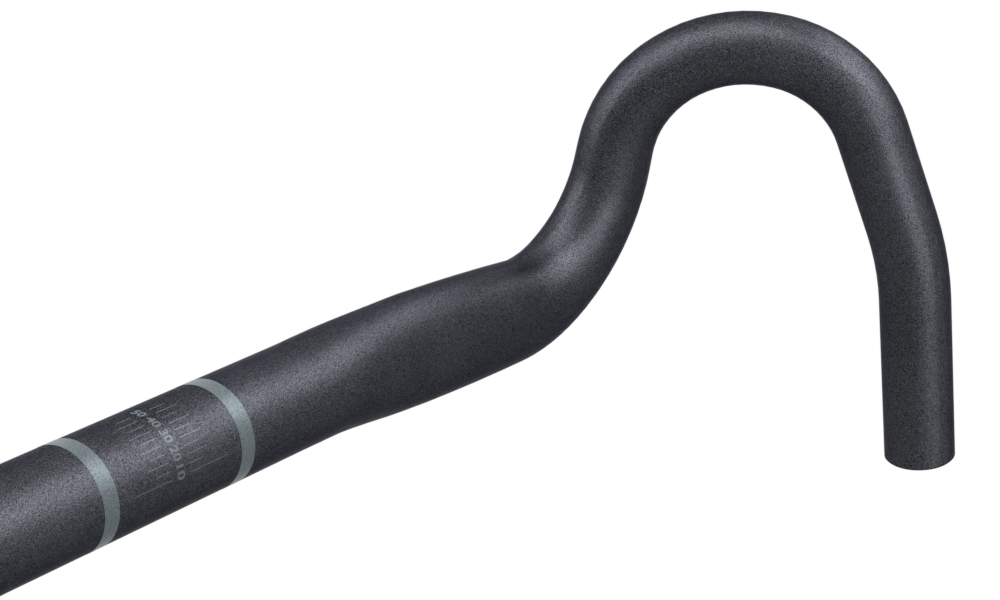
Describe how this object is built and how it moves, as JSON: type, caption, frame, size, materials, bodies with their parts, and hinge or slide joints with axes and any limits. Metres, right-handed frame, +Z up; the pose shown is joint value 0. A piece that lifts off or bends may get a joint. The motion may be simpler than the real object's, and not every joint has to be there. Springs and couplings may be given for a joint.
{
  "type": "flared drop handlebar",
  "caption": "Flared drop handlebar for a bicycle: a bent, butted alloy tube with a round stem clamp, flattened tops, and hooks that lean outward to open bar ends.",
  "frame": {"origin": "middle of the stem clamp, on the axis of the round stretch", "axes": "+X along the clamp's axis to the rider's right, +Y forward, +Z up, with the drop ends about level"},
  "size_m": [0.5672, 0.1564, 0.1262],
  "materials": {
    "black_alloy": "satin black, fine blasted grain"
  },
  "bodies": {
    "root": {"handlebar": "black_alloy"}
  },
  "joints": []
}
